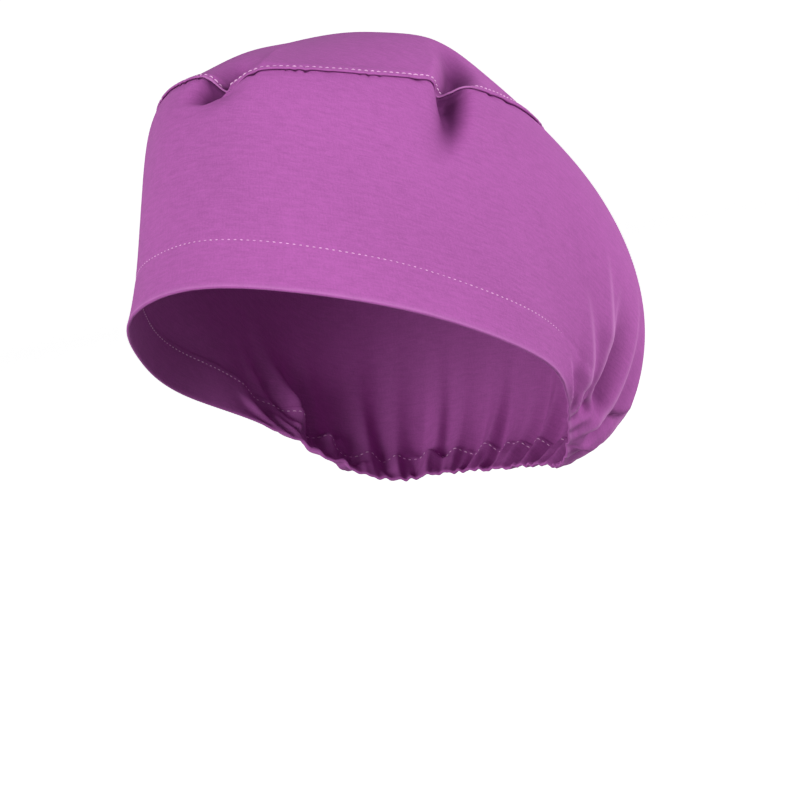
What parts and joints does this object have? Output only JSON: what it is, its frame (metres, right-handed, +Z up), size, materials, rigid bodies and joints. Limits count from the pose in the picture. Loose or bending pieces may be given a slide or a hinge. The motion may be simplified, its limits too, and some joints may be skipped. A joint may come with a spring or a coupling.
{
  "type": "scrub cap",
  "caption": "Soft fabric scrub cap with a deep side wall, a rounded crown panel set in with a topstitched seam, a turned-up hem, and gathers drawn in behind the ears and across the nape.",
  "frame": {"origin": "middle of the head opening at ear level, where a head holds the cap", "axes": "+Z up through the crown, -Y towards the front of the cap, +X towards the wearer's left"},
  "size_m": [0.175, 0.231, 0.1958],
  "materials": {
    "cap_cloth": "matt plain weave",
    "hem_cloth": "matt plain weave"
  },
  "bodies": {
    "root": {"side_wall": "cap_cloth", "crown_panel": "cap_cloth", "hem_facing": "hem_cloth"}
  },
  "joints": []
}
